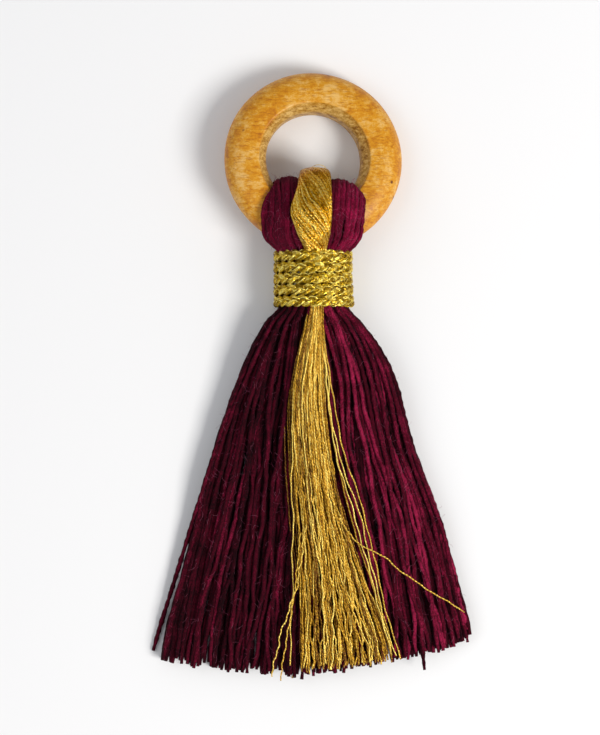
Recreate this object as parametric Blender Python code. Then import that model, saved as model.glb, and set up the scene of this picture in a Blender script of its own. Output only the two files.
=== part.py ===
"""A yarn tassel on a turned wooden ring, lying on its back on a flat surface.

A hank of wool yarn and a smaller hank of gold thread are folded over the ring. A gold cord is wound
five times round both, just below the ring. The cut ends fan out as a skirt.

The tables below are in millimetres. X runs across the tassel, Y runs from the skirt's hem up to the
ring, and Z stands up from the surface. Y is 0 at the binding's lower edge until the last step, which
puts the origin under the middle of the whole tassel.
"""

import math

import bmesh
import bpy
from mathutils import Euler, Matrix, Vector

MM = 0.001
GAP = 0.3

# Turned ring. It leans on the wool under it, so its far end and its right side touch the surface.
RING_RADIUS = 15.0
HOLE_RADIUS = 8.0
RING_HALF_THICKNESS = 3.25
HOLE_FLARE = 1.2
HOLE_STRAIGHT_HALF = 0.9
EDGE_ROUND = 0.45
RING_BULGE_START = 10.8
RING_CENTRE_Y = 24.6
RING_LEAN_DEG = -7.0
RING_ROLL_DEG = 5.0
RING_STEPS = 64
WALL_STEPS = 2
BULGE_STEPS = 12

# Binding: an oval sleeve of wound cord.
BINDING_LENGTH = 9.2
BINDING_TURNS = 5
BINDING_INSIDE_HALF_WIDTH = 5.65
BINDING_INSIDE_HALF_HEIGHT = 4.2
BINDING_THIN = 0.7
BINDING_THICK = 1.15
BINDING_CENTRE_HEIGHT = 5.25
BINDING_SLANT = 0.035
BINDING_STEPS_ROUND = 36
BINDING_STEPS_TURN = 4

# Wool hank. Every row of a table is one section: how far it lies below (or above) the binding's
# lower edge, how far the wool reaches to the left and right, and its lowest and highest point.
HANK_COLUMNS = 40
TUFTS = 10
TUFT_NOTCH = 2.2
FLUTE_DEPTH = 0.75
BACK_FLATNESS = 5.0
BACK_PRESS = 0.5
SKIRT_ROWS = 11
HEAD_ROWS = 9
NECK_HALF_WIDTH = BINDING_INSIDE_HALF_WIDTH - GAP
NECK_HALF_HEIGHT = BINDING_INSIDE_HALF_HEIGHT - GAP
NECK_LOW = BINDING_CENTRE_HEIGHT - NECK_HALF_HEIGHT
NECK_HIGH = BINDING_CENTRE_HEIGHT + NECK_HALF_HEIGHT
SKIRT = [
    # below  left   right  low       high
    (0.0, NECK_HALF_WIDTH, NECK_HALF_WIDTH, NECK_LOW, NECK_HIGH),
    (0.6, 6.3, 6.3, 1.2, 9.1),
    (2.0, 8.1, 8.0, 0.7, 8.9),
    (4.0, 9.5, 9.6, 0.3, 8.6),
    (7.1, 11.2, 11.7, 0.0, 8.0),
    (12.2, 13.5, 14.2, 0.0, 7.2),
    (24.0, 17.2, 17.2, 0.0, 6.2),
    (40.8, 21.1, 22.4, 0.0, 5.3),
    (49.2, 23.1, 24.4, 0.0, 4.9),
    (62.0, 26.0, 27.2, 0.0, 4.5),
]
HEAD = [
    # above  left   right  low       high
    (BINDING_LENGTH + 0.6, NECK_HALF_WIDTH, NECK_HALF_WIDTH, NECK_LOW, NECK_HIGH),
    (10.2, 7.1, 6.7, 0.9, 10.0),
    (11.0, 8.1, 7.4, 0.5, 11.0),
    (12.6, 8.7, 8.4, 0.1, 12.2),
    (15.5, 9.0, 8.9, 0.0, 12.9),
    (18.2, 8.9, 9.1, 0.0, 12.7),
    (20.2, 8.5, 8.7, 0.9, 11.7),
    (21.5, 7.6, 7.8, 2.5, 10.0),
    (22.0, 6.4, 6.6, 4.4, 8.3),
]
HEM = [
    # across  below
    (-26.5, 58.4),
    (-24.0, 60.0),
    (-18.0, 61.0),
    (-9.0, 61.8),
    (0.0, 62.0),
    (8.0, 60.8),
    (15.0, 59.4),
    (21.0, 58.8),
    (27.2, 56.8),
]
LONGEST_YARN = 62.0
SADDLE_DEPTH = 1.0
SADDLE_WIDTH = 2.4
RIGHT_LOBE_DROP = 0.4

# Gold thread hank, from the front hem over the head and down to the back hem. Every row is one
# station: how far along the tassel, the height of its middle, its middle across, and half its width
# and half its thickness. In the front fan the height is added to the wool's own height.
GOLD_COLUMNS = 10
GOLD_TUFTS = 5
GOLD_NOTCH = 1.2
GOLD_RIDGE = 0.18
GOLD_STEPS = 2
GOLD_FAN = [
    # along  above wool  across  half width  half thickness
    (-60.8, 0.45, 5.6, 8.15, 0.60),
    (-50.2, 0.45, 4.4, 7.25, 0.65),
    (-39.5, 0.45, 2.7, 6.50, 0.70),
    (-24.5, 0.45, 0.3, 4.95, 0.75),
    (-13.7, 0.40, -0.7, 3.60, 0.75),
    (-6.0, 0.25, -0.1, 2.20, 0.65),
]
GOLD_HEAD = [
    # along  height  across  half width  half thickness
    (-0.6, NECK_HIGH - 0.42, 0.4, 1.45, 0.42),
    (2.5, NECK_HIGH - 0.42, 0.4, 1.60, 0.40),
    (6.5, NECK_HIGH - 0.42, 0.5, 1.70, 0.40),
    (9.7, NECK_HIGH - 0.22, 0.5, 1.90, 0.50),
    (12.4, 12.1, 0.1, 2.80, 0.95),
    (15.6, 13.25, -0.2, 3.40, 1.15),
    (19.3, 12.6, 0.0, 3.00, 1.10),
    (21.9, 10.2, 0.2, 2.60, 1.00),
    (22.6, 6.9, 0.2, 2.45, 0.95),
    (21.6, 3.3, 0.2, 2.45, 0.85),
    (19.0, 0.80, 0.1, 2.60, 0.70),
    (15.5, 0.50, 0.0, 2.60, 0.60),
    (12.4, 0.65, 0.0, 2.20, 0.55),
    (9.7, NECK_LOW + 0.25, 0.0, 1.80, 0.45),
    (6.5, NECK_LOW + 0.42, 0.0, 1.70, 0.40),
    (2.5, NECK_LOW + 0.42, 0.0, 1.60, 0.40),
    (-0.8, NECK_LOW + 0.25, 0.0, 1.60, 0.42),
    (-2.8, 0.62, 0.1, 1.90, 0.50),
    (-6.5, 0.45, 0.2, 2.40, 0.50),
    (-20.0, 0.45, 0.4, 4.20, 0.50),
    (-40.0, 0.45, 0.7, 6.00, 0.50),
    (-57.5, 0.45, 1.0, 7.20, 0.50),
]


def smooth_rows(rows, place):
    """Reads a table of sections at a place between two rows, along a smooth curve."""
    spans = len(rows) - 1
    index = 0
    while index < spans - 1 and place > rows[index + 1][0]:
        index += 1
    start, end = rows[index][0], rows[index + 1][0]
    share = min(1.0, max(0.0, (place - start) / (end - start)))
    before = rows[max(0, index - 1)]
    after = rows[min(spans, index + 2)]
    return [
        catmull_rom(before[c], rows[index][c], rows[index + 1][c], after[c], share)
        for c in range(1, len(rows[0]))
    ]


def catmull_rom(before, start, end, after, share):
    """A curve from start to end whose slope agrees with its neighbours."""
    slope_start = (end - before) / 2.0
    slope_end = (after - start) / 2.0
    square, cube = share ** 2, share ** 3
    return (
        (2 * cube - 3 * square + 1) * start
        + (cube - 2 * square + share) * slope_start
        + (3 * square - 2 * cube) * end
        + (cube - square) * slope_end
    )


def tuft_valley(position, tufts):
    """0 on the crown of a tuft and 1 in the valley beside it. Position runs from -1 to 1."""
    return 0.5 - 0.5 * math.cos(math.pi * (tufts * (position + 1.0) + 1.0))


def lens(position, squareness):
    """Half height of a flat rounded section at a position from -1 to 1 across it."""
    return max(0.0, 1.0 - abs(position) ** squareness) ** (1.0 / squareness)


def section_loop(front, back):
    """Joins the front and back points of a section into one loop that shares the two edge points."""
    return front + back[-2:0:-1]


def new_object(name, bm, material):
    """Makes an object of a mesh in millimetres, with its faces pointing out."""
    bmesh.ops.recalc_face_normals(bm, faces=bm.faces)
    bmesh.ops.scale(bm, vec=(MM, MM, MM), verts=bm.verts)
    mesh = bpy.data.meshes.new(name)
    bm.to_mesh(mesh)
    bm.free()
    mesh.materials.append(material)
    mesh.shade_smooth()
    mesh.set_sharp_from_angle(angle=math.radians(50.0))
    thing = bpy.data.objects.new(name, mesh)
    bpy.context.scene.collection.objects.link(thing)
    return thing


def loft(sections):
    """A closed body through sections of equal count. Each end is closed from its front to its back."""
    bm = bmesh.new()
    loops = [[bm.verts.new(point) for point in section] for section in sections]
    count = len(loops[0])
    for lower, upper in zip(loops, loops[1:]):
        for i in range(count):
            j = (i + 1) % count
            bm.faces.new((lower[i], lower[j], upper[j], upper[i]))
    half = count // 2
    for loop in (loops[0], loops[-1]):
        bm.faces.new((loop[0], loop[1], loop[-1]))
        for i in range(1, half - 1):
            bm.faces.new((loop[i], loop[i + 1], loop[count - i - 1], loop[count - i]))
        bm.faces.new((loop[half - 1], loop[half], loop[half + 1]))
    return bm


def as_cutter(thing):
    """Keeps an object only as a tool for Boolean cuts."""
    thing.hide_render = True
    thing.display_type = "WIRE"
    return thing


def cut(thing, cutter):
    """Takes the cutter's space out of an object."""
    modifier = thing.modifiers.new("room for " + cutter.name, "BOOLEAN")
    modifier.operation = "DIFFERENCE"
    modifier.solver = "EXACT"
    modifier.object = cutter


def ring_profile(grow):
    """The turned section: a hole that flares to a small soft edge, and a bulging outer side."""
    top = RING_HALF_THICKNESS + grow
    bulge = RING_RADIUS - RING_BULGE_START + grow
    half_turn = math.pi
    edge_height = RING_HALF_THICKNESS - EDGE_ROUND
    flare_height = edge_height - HOLE_STRAIGHT_HALF
    wall = []
    for i in range(WALL_STEPS + 1):
        share = i / WALL_STEPS
        radius = HOLE_RADIUS - grow + HOLE_FLARE * share ** 2
        wall.append((radius, HOLE_STRAIGHT_HALF + (flare_height + grow / 2.0) * share))
    wall.append((HOLE_RADIUS - grow / 2.0 + HOLE_FLARE + EDGE_ROUND, top))
    outer = []
    for i in range(BULGE_STEPS + 1):
        angle = half_turn * (0.5 - i / BULGE_STEPS)
        outer.append((RING_BULGE_START + bulge * math.cos(angle), top * math.sin(angle)))
    return wall + outer + [(radius, -height) for radius, height in reversed(wall)]


def ring_rotation():
    return Euler((math.radians(RING_LEAN_DEG), math.radians(RING_ROLL_DEG), 0.0)).to_matrix()


def ring_centre():
    """The ring's middle, at the height where its lowest point touches the surface."""
    turn = ring_rotation()
    lowest = min((turn @ Vector((radius * math.cos(a), radius * math.sin(a), height))).z
                 for radius, height in ring_profile(0.0)
                 for a in (2.0 * math.pi * (k + 0.5) / RING_STEPS for k in range(RING_STEPS)))
    return Vector((0.0, RING_CENTRE_Y, -lowest))


def make_ring(name, material, grow=0.0):
    """Spins the section round the hole, a flat facet centred on each of the four main directions."""
    bm = bmesh.new()
    first = math.pi / RING_STEPS
    verts = [bm.verts.new((radius * math.cos(first), radius * math.sin(first), height))
             for radius, height in ring_profile(grow)]
    edges = [bm.edges.new((verts[i], verts[(i + 1) % len(verts)])) for i in range(len(verts))]
    bmesh.ops.spin(bm, geom=verts + edges, cent=(0, 0, 0), axis=(0, 0, 1), dvec=(0, 0, 0),
                   angle=2.0 * math.pi, steps=RING_STEPS, use_merge=True, use_duplicate=False)
    placed = Matrix.Translation(ring_centre()) @ ring_rotation().to_4x4()
    bmesh.ops.transform(bm, matrix=placed, verts=bm.verts)
    return new_object(name, bm, material)


def hank_section(left, right, low, high, squareness, spread, flute, shift):
    """One section of the wool: a fluted, crowned front, and a back pressed flat on the surface."""
    middle = (right - left) / 2.0
    half = (right + left) / 2.0
    centre = (low + high) / 2.0
    front, back = [], []
    for column in range(HANK_COLUMNS + 1):
        even = -1.0 + 2.0 * column / HANK_COLUMNS
        position = (1.0 - spread) * math.sin(math.pi / 2.0 * even) + spread * even
        valley = flute * tuft_valley(even, TUFTS)
        rise = lens(position, squareness) * (high - low) / 2.0
        drop = lens(position, squareness + BACK_FLATNESS * spread) * (high - low) / 2.0
        across = middle + half * position
        along = shift(even, across)
        front.append((across, along, centre + rise - valley * min(1.0, rise)))
        back.append((across, along, max(0.0, centre - drop * (1.0 + BACK_PRESS * spread))))
    return section_loop(front, back)


def skirt_sections():
    """From the hem up to the binding. Valleys between tufts end higher, so the hem is a comb."""
    sections = []
    for row in range(SKIRT_ROWS):
        share = (1.0 - row / SKIRT_ROWS) ** 1.35

        def shift(even, across):
            hem = smooth_rows(HEM, across / max(share, 0.05) ** 0.4)[0]
            return -share * (hem - TUFT_NOTCH * share ** 4 * tuft_valley(even, TUFTS))

        below = share * LONGEST_YARN
        left, right, low, high = smooth_rows(SKIRT, below)
        flute = FLUTE_DEPTH * min(1.0, below / 15.0)
        spread = 0.55 * min(1.0, below / 30.0)
        squareness = 2.0 + 0.4 * min(1.0, below / 12.0)
        sections.append(hank_section(left, right, low, high, squareness, spread, flute, shift))
    return sections


def head_sections():
    """The neck, then the loop round the ring with its two lobes and the saddle for the gold."""
    neck = (NECK_HALF_WIDTH, NECK_HALF_WIDTH, NECK_LOW, NECK_HIGH)
    sections = []
    for along in (0.0, BINDING_LENGTH / 2.0):
        sections.append(hank_section(*neck, 2.0, 0.0, 0.0, lambda even, across, y=along: y))
    start, end = HEAD[0][0], HEAD[-1][0]
    for row in range(HEAD_ROWS + 1):
        share = 1.0 - (1.0 - row / HEAD_ROWS) ** 1.3
        above = start + share * (end - start)

        def shift(even, across):
            saddle = SADDLE_DEPTH * math.exp(-(across / SADDLE_WIDTH) ** 2)
            lobe = RIGHT_LOBE_DROP if across > SADDLE_WIDTH else 0.0
            return above - share ** 3 * (saddle + lobe)

        left, right, low, high = smooth_rows(HEAD, above)
        squareness = 2.0 + 1.2 * min(1.0, 3.0 * share)
        sections.append(hank_section(left, right, low, high, squareness, 0.15 * share, 0.0, shift))
    return sections


def make_yarn_hank(material):
    return new_object("yarn_hank", loft(skirt_sections() + head_sections()), material)


def gold_stations():
    """Every station of the gold hank as along, height, across, half width and half thickness."""
    stations = []
    for along, above, across, half_width, half_thickness in GOLD_FAN:
        wool_high = smooth_rows(SKIRT, -along)[3]
        stations.append((along, wool_high + above, across, half_width, half_thickness))
    return stations + GOLD_HEAD


def gold_curve():
    """The stations with smooth steps between them."""
    stations = gold_stations()
    last = len(stations) - 1
    points = []
    for i in range(last):
        rows = [stations[max(0, i - 1)], stations[i], stations[i + 1], stations[min(last, i + 2)]]
        for step in range(GOLD_STEPS):
            share = step / GOLD_STEPS
            points.append([catmull_rom(*values, share) for values in zip(*rows)])
    points.append(list(stations[last]))
    return points


def make_gold_hank(name, material, grow=0.0):
    """A flat band of thread whose section stands square to its path. Both cut ends are combs."""
    points = gold_curve()
    last = len(points) - 1
    sections = []
    for i, (along, height, across, half_width, half_thickness) in enumerate(points):
        ahead = points[min(last, i + 1)]
        behind = points[max(0, i - 1)]
        run = Vector((0.0, ahead[0] - behind[0], ahead[1] - behind[1])).normalized()
        out = Vector((0.0, -run.z, run.y))
        end_share = max(0.0, 1.0 - min(i, last - i) / (2.0 * GOLD_STEPS)) ** 3
        end_run = run if i > last // 2 else -run
        outer, inner = [], []
        for column in range(GOLD_COLUMNS + 1):
            position = math.sin(math.pi / 2.0 * (-1.0 + 2.0 * column / GOLD_COLUMNS))
            valley = tuft_valley(-1.0 + 2.0 * column / GOLD_COLUMNS, GOLD_TUFTS)
            thickness = lens(position, 2.2) * (half_thickness + grow)
            thickness -= GOLD_RIDGE * valley * min(1.0, thickness) * (1.0 - abs(position))
            middle = Vector((across + (half_width + grow) * position, along, height))
            middle += end_run * end_share * (grow - GOLD_NOTCH * valley)
            for side, points_out in ((1.0, outer), (-1.0, inner)):
                point = middle + side * out * thickness
                if grow == 0.0:
                    point.z = max(0.0, point.z)
                points_out.append(point)
        sections.append(section_loop(outer, inner))
    return new_object(name, loft(sections), material)


def make_binding(material):
    """An oval sleeve with one rounded rib for each turn of cord, flat where it lies on the surface."""
    bm = bmesh.new()
    rows = BINDING_TURNS * BINDING_STEPS_TURN

    def oval(along, wall):
        loop = []
        for i in range(BINDING_STEPS_ROUND):
            angle = 2.0 * math.pi * (i + 0.5) / BINDING_STEPS_ROUND
            across = (BINDING_INSIDE_HALF_WIDTH + wall) * math.cos(angle)
            rise = (BINDING_INSIDE_HALF_HEIGHT + wall) * math.sin(angle)
            height = max(0.0, BINDING_CENTRE_HEIGHT + rise)
            slant = BINDING_SLANT * across * along / BINDING_LENGTH
            loop.append(bm.verts.new((across, along + slant, height)))
        return loop

    def bridge(lower, upper):
        for i in range(BINDING_STEPS_ROUND):
            j = (i + 1) % BINDING_STEPS_ROUND
            bm.faces.new((lower[i], lower[j], upper[j], upper[i]))

    outside = []
    for row in range(rows + 1):
        rib = math.sin(math.pi * (row % BINDING_STEPS_TURN) / BINDING_STEPS_TURN)
        wall = BINDING_THIN + (BINDING_THICK - BINDING_THIN) * rib
        outside.append(oval(BINDING_LENGTH * row / rows, wall))
    inside = [oval(0.0, 0.0), oval(BINDING_LENGTH, 0.0)]
    for lower, upper in zip(outside, outside[1:]):
        bridge(lower, upper)
    bridge(outside[-1], inside[1])
    bridge(inside[1], inside[0])
    bridge(inside[0], outside[0])
    return new_object("binding", bm, material)


def new_material(name, colour, roughness, metallic):
    material = bpy.data.materials.new(name)
    material.use_nodes = True
    shader = material.node_tree.nodes["Principled BSDF"]
    shader.inputs["Base Color"].default_value = (*colour, 1.0)
    shader.inputs["Roughness"].default_value = roughness
    shader.inputs["Metallic"].default_value = metallic
    return material


def centre_over_origin(pieces, cutters):
    """Moves everything so that the origin is under the middle of the visible pieces' box."""
    corners = [vertex.co for piece in pieces for vertex in piece.data.vertices]
    middle_x = (min(c.x for c in corners) + max(c.x for c in corners)) / 2.0
    middle_y = (min(c.y for c in corners) + max(c.y for c in corners)) / 2.0
    lowest = min(c.z for c in corners)
    for thing in pieces + cutters:
        thing.data.transform(Matrix.Translation((-middle_x, -middle_y, -lowest)))


def main():
    for thing in list(bpy.data.objects):
        bpy.data.objects.remove(thing)
    wood = new_material("ring_wood", (0.60, 0.27, 0.05), 0.4, 0.0)
    wool = new_material("maroon_wool", (0.13, 0.005, 0.03), 0.9, 0.0)
    gold = new_material("gold_thread", (0.60, 0.38, 0.10), 0.35, 0.9)
    cord = new_material("gold_cord", (0.55, 0.36, 0.08), 0.3, 0.9)

    ring = make_ring("ring", wood)
    hank = make_yarn_hank(wool)
    gold_hank = make_gold_hank("gold_hank", gold)
    binding = make_binding(cord)
    ring_room = as_cutter(make_ring("ring_room", wood, grow=GAP))
    gold_room = as_cutter(make_gold_hank("gold_room", gold, grow=GAP))
    cut(hank, ring_room)
    cut(hank, gold_room)
    centre_over_origin([ring, hank, gold_hank, binding], [ring_room, gold_room])


main()
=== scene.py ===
# %% [markdown]
# # A wool tassel on a wooden ring
#
# The solid model already holds every size: a turned ring, a wool hank folded over it, a smaller
# gold hank on top and a gold binding. This lesson dresses those solids. Each solid of cloth is
# swapped for the real yarns, threads and cords that fill the same space, and the ring is turned
# again with a finer surface and a real wood finish.

# %% Load the solid model
import math

import bpy
import numpy as np
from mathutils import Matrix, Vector


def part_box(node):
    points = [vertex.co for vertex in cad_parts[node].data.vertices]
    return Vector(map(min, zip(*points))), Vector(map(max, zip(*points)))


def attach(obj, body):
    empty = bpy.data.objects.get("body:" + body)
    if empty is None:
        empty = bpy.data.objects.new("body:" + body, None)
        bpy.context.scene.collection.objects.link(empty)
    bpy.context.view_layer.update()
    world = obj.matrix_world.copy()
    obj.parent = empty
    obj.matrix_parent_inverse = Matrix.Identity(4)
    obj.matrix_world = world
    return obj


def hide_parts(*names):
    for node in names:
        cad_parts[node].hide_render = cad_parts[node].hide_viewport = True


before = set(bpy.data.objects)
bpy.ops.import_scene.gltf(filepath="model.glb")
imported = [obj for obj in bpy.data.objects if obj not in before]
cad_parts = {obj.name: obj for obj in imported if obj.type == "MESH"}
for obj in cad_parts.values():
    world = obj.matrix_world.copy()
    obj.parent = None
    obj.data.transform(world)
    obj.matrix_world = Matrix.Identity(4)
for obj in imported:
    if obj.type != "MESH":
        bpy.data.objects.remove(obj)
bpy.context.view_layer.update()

MM = 0.001


def put_in_scene(name, data):
    """A new object for a mesh, a lamp or a camera."""
    thing = bpy.data.objects.new(name, data)
    bpy.context.scene.collection.objects.link(thing)
    return thing


# %% [markdown]
# ## Reading sizes off the solids
#
# A maker would hold calipers to the model. Here a slice does that work: every mesh edge that
# crosses a plane gives one point of the outline. The width and height of the outline at a few
# places along the tassel are all that the yarns need. Reading them this way keeps the dressed
# tassel close to the solid one, whatever size that is.

# %% Calipers for a solid
def solid_edges(name):
    """The two ends of every edge of a solid, as two arrays of points."""
    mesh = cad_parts[name].data
    points = np.zeros(len(mesh.vertices) * 3)
    mesh.vertices.foreach_get("co", points)
    pairs = np.zeros(len(mesh.edges) * 2, int)
    mesh.edges.foreach_get("vertices", pairs)
    points, pairs = points.reshape(-1, 3), pairs.reshape(-1, 2)
    return points[pairs[:, 0]], points[pairs[:, 1]]


def slice_solid(edges, along, over=-1.0):
    """Left, right, low and high of a solid cut across at one place along Y, above one height."""
    start, end = edges
    crossing = (start[:, 1] - along) * (end[:, 1] - along) < 0
    start, end = start[crossing], end[crossing]
    share = ((along - start[:, 1]) / (end[:, 1] - start[:, 1]))[:, None]
    points = start + share * (end - start)
    points = points[points[:, 2] > over]
    return points[:, 0].min(), points[:, 0].max(), points[:, 2].min(), points[:, 2].max()


wool_edges = solid_edges("yarn_hank")
gold_edges = solid_edges("gold_hank")
binding_low, binding_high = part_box("binding")
wool_low, wool_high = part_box("yarn_hank")
gold_low, gold_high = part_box("gold_hank")
axis_x = (binding_low.x + binding_high.x) / 2.0
skirt_top = binding_low.y
neck_top = binding_high.y
print("binding from", round(skirt_top / MM, 1), "to", round(neck_top / MM, 1), "mm along the tassel")

# %% [markdown]
# ## The ring's own plane
#
# The ring leans on the wool, so it isn't level. The flattest direction of its points is its axis,
# and the singular value decomposition finds that direction. Its radii and thickness follow.

# %% Find the ring's axis, radii and thickness
ring_points = np.concatenate(solid_edges("ring"))
ring_centre = ring_points.mean(axis=0)
ring_frame = np.linalg.svd(ring_points - ring_centre, full_matrices=False)[2]
ring_axis = ring_frame[2] * np.sign(ring_frame[2][2])
ring_x = np.cross([0.0, 1.0, 0.0], ring_axis)
ring_x /= np.linalg.norm(ring_x)
ring_y = np.cross(ring_axis, ring_x)
ring_basis = np.array([ring_x, ring_y, ring_axis])
in_ring = (ring_points - ring_centre) @ ring_basis.T
from_axis = np.hypot(in_ring[:, 0], in_ring[:, 1])
ring_radius, hole_radius = from_axis.max(), from_axis.min()
ring_half_thickness = in_ring[:, 2].max()
tube_radius = (ring_radius + hole_radius) / 2.0
tube_half_width = (ring_radius - hole_radius) / 2.0
print("ring outside", round(2 * ring_radius / MM, 2), "hole", round(2 * hole_radius / MM, 2),
      "thick", round(2 * ring_half_thickness / MM, 2), "mm")

# %% [markdown]
# ## Paths
#
# A yarn's route is a row of points, and a layer of yarns is an array of such rows, so one line of
# numpy can move a whole layer. Blender's curves and hair could hold the routes too, but arrays are
# easy to bend by a formula and to push out of the wood. Seeded chance makes no two yarns alike and
# still gives the same tassel each time.

# %% Helpers for paths
def unit(vectors):
    return vectors / np.maximum(np.linalg.norm(vectors, axis=-1, keepdims=True), 1e-12)


def lengths_along(paths):
    """Distance from the start of each path to each of its points."""
    steps = np.linalg.norm(np.diff(paths, axis=1), axis=-1)
    return np.concatenate([np.zeros((len(paths), 1)), np.cumsum(steps, axis=1)], axis=1)


def smoothed(paths, rounds):
    """Takes the kinks out of paths and leaves their two ends where they are."""
    paths = paths.copy()
    for _ in range(rounds):
        paths[:, 1:-1] = 0.25 * paths[:, :-2] + 0.5 * paths[:, 1:-1] + 0.25 * paths[:, 2:]
    return paths


def waver(rng, count, share, waves):
    """A smooth wandering line for each strand. Waves are pairs: how many along it, how far in mm."""
    total = np.zeros((count, share.shape[-1]))
    for wave, strength in waves:
        start = rng.uniform(0.0, 2.0 * np.pi, (count, 1))
        size = rng.uniform(0.4, 1.0, (count, 1)) * strength * MM
        total += size * np.sin(2.0 * np.pi * wave * share + start)
    return total


SLUB_WAVES = ((7.0, 0.5), (13.0, 0.5), (23.0, 0.5))
SLUB_STRENGTH = 0.17
FRAYED_SHARE = 0.02
FRAYED_THICKNESS = 0.7
SLUB_ROOM = 1.1  # a yarn with its slubs, in yarn radii


def slubs(rng, count, points, radius):
    """Hand-spun unevenness: a radius that swells and thins, and a frayed last end."""
    share = np.linspace(0.0, 1.0, points)[None, :]
    swell = waver(rng, count, share, SLUB_WAVES) / MM
    frayed = np.clip((1.0 - share) / FRAYED_SHARE, FRAYED_THICKNESS, 1.0)
    return radius * (1.0 + SLUB_STRENGTH * swell) * frayed


# %% [markdown]
# ## A strand is a tube along a path
#
# Yarn, thread and cord are all long thin tubes. One helper makes many at once as a single mesh:
# it takes an array of paths, carries a small cross-section along each, and joins the rows with
# four-sided faces. Two plies twisted together give a section with two lobes that turn along the
# strand, so the radius swells twice round the section and the swelling moves on with the length.
# Each strand also carries a tone, its own lighter or darker dye lot, which for some pieces also
# holds painted light or painted shade, and a place along itself for the finish to use.

# %% Maps for the finishes
STRIP_MARGIN = 0.1  # of a strip's width, free on each side
END_BAND = 0.03  # of a strip's length, kept for the cap at each end
CAP_MIDDLES = (0.012, 0.988)
CAP_REACH = (0.3, 0.008)


def write_maps(mesh, length, shape, sides):
    """Two maps. Strand: once round, and mm along. OFBake: each strand in a strip of its own."""
    count = shape[0]
    j = np.broadcast_to(np.arange(sides)[None, None, :], shape)
    round_share = np.stack([j, j + 1, j + 1, j], axis=-1) / sides
    here = np.broadcast_to(length[:, :-1, None], shape)
    ahead = np.broadcast_to(length[:, 1:, None], shape)
    along = np.stack([here, here, ahead, ahead], axis=-1)
    strip = np.broadcast_to(np.arange(count)[:, None, None, None], round_share.shape)
    bake_u = (strip + STRIP_MARGIN + (1.0 - 2.0 * STRIP_MARGIN) * round_share) / count
    bake_v = END_BAND + (1.0 - 2.0 * END_BAND) * along / length[:, -1][:, None, None, None]
    turn = 2.0 * np.pi * np.arange(sides) / sides
    cap_u = (np.arange(count)[:, None, None] + 0.5 + CAP_REACH[0] * np.cos(turn)[None, None]) / count
    cap_v = np.array(CAP_MIDDLES)[None, :, None] + CAP_REACH[1] * np.sin(turn)[None, None]
    cap_u, cap_v = np.broadcast_arrays(cap_u, cap_v)
    flat_cap = np.full(cap_u.size, 0.5)
    for name, u, v, end_u, end_v in (("Strand", round_share, along / MM, flat_cap, flat_cap),
                                     ("OFBake", bake_u, bake_v, cap_u, cap_v)):
        uv = np.stack([np.append(u, end_u), np.append(v, end_v)], axis=-1)
        mesh.uv_layers.new(name=name).data.foreach_set("uv", uv.ravel().astype(np.float32))


# %% Faces of the tubes
def tube_faces(count, points, sides):
    """Corners of the four-sided faces along each tube, and of the two caps that close it."""
    first = (np.arange(count) * points * sides)[:, None, None]
    row = (np.arange(points - 1) * sides)[None, :, None]
    corner = np.arange(sides)[None, None, :]
    onward = (corner + 1) % sides
    quads = np.stack([first + row + corner, first + row + onward,
                      first + row + sides + onward, first + row + sides + corner], axis=-1)
    caps = np.stack([first[:, 0] + corner[0, :, ::-1],
                     first[:, 0] + (points - 1) * sides + corner[0]], axis=1)
    return quads, caps


# %% The strand maker
def strands(name, paths, radius, sides, across, ply=0.0, pitch=1.0, tones=None, seed=0):
    """One mesh of closed tubes along paths of equal point counts. Radius is one value or an array."""
    rng = np.random.default_rng(seed)
    count, points = paths.shape[:2]
    run = unit(np.gradient(paths, axis=1))
    across = np.broadcast_to(np.asarray(across, float), paths.shape)
    side = unit(across - (across * run).sum(-1, keepdims=True) * run)
    out = np.cross(run, side)
    length = lengths_along(paths)
    turn = 2.0 * np.pi * np.arange(sides) / sides
    start = rng.uniform(0.0, 2.0 * np.pi, (count, 1, 1))
    lobes = 1.0 + ply * np.cos(2.0 * turn - 2.0 * (2.0 * np.pi * length[..., None] / pitch + start))
    reach = np.broadcast_to(np.asarray(radius, float), (count, points))[..., None] * lobes
    rings = (paths[:, :, None] + (reach * np.cos(turn))[..., None] * side[:, :, None]
             + (reach * np.sin(turn))[..., None] * out[:, :, None])
    rings[..., 2] = np.maximum(rings[..., 2], 0.0)
    tones = rng.uniform(0.0, 1.0, count) if tones is None else np.asarray(tones, float)

    quads, caps = tube_faces(count, points, sides)
    loops = np.append(quads, caps)
    starts = np.append(np.arange(quads.size // 4) * 4, quads.size + np.arange(2 * count) * sides)
    mesh = bpy.data.meshes.new(name)
    mesh.vertices.add(rings.size // 3)
    mesh.vertices.foreach_set("co", rings.reshape(-1).astype(np.float32))
    mesh.loops.add(len(loops))
    mesh.loops.foreach_set("vertex_index", loops.astype(np.int32))
    mesh.polygons.add(len(starts))
    mesh.polygons.foreach_set("loop_start", starts.astype(np.int32))
    mesh.update(calc_edges=True)
    mesh.polygons.foreach_set("use_smooth", np.ones(len(starts), bool))

    tone = mesh.attributes.new("tone", "FLOAT", "POINT")
    tone.data.foreach_set("value", np.repeat(tones, points * sides).astype(np.float32))
    write_maps(mesh, length, quads.shape[:3], sides)
    print(f"{name}: {count} strands, {quads.size // 2 + 2 * count * (sides - 2)} triangles")
    return put_in_scene(name, mesh)


# %% [markdown]
# ## Finishes from nodes
#
# A finish is a small chain of nodes that ends in one Principled shader. A few short helpers keep
# those chains readable: one adds a node, one makes a colour ramp, one makes noise, one adds up
# several patterns by weight, and one ends the chain in the shader.

# %% Node helpers
MIX_COLOURS = (6, 7)  # the sockets of a Mix node that take its two colours
MIX_COLOUR_RESULT = 2


def new_finish(name):
    material = bpy.data.materials.new(name)
    material.use_nodes = True
    print("finish:", name)
    return material, material.node_tree, material.node_tree.nodes["Principled BSDF"]


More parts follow.
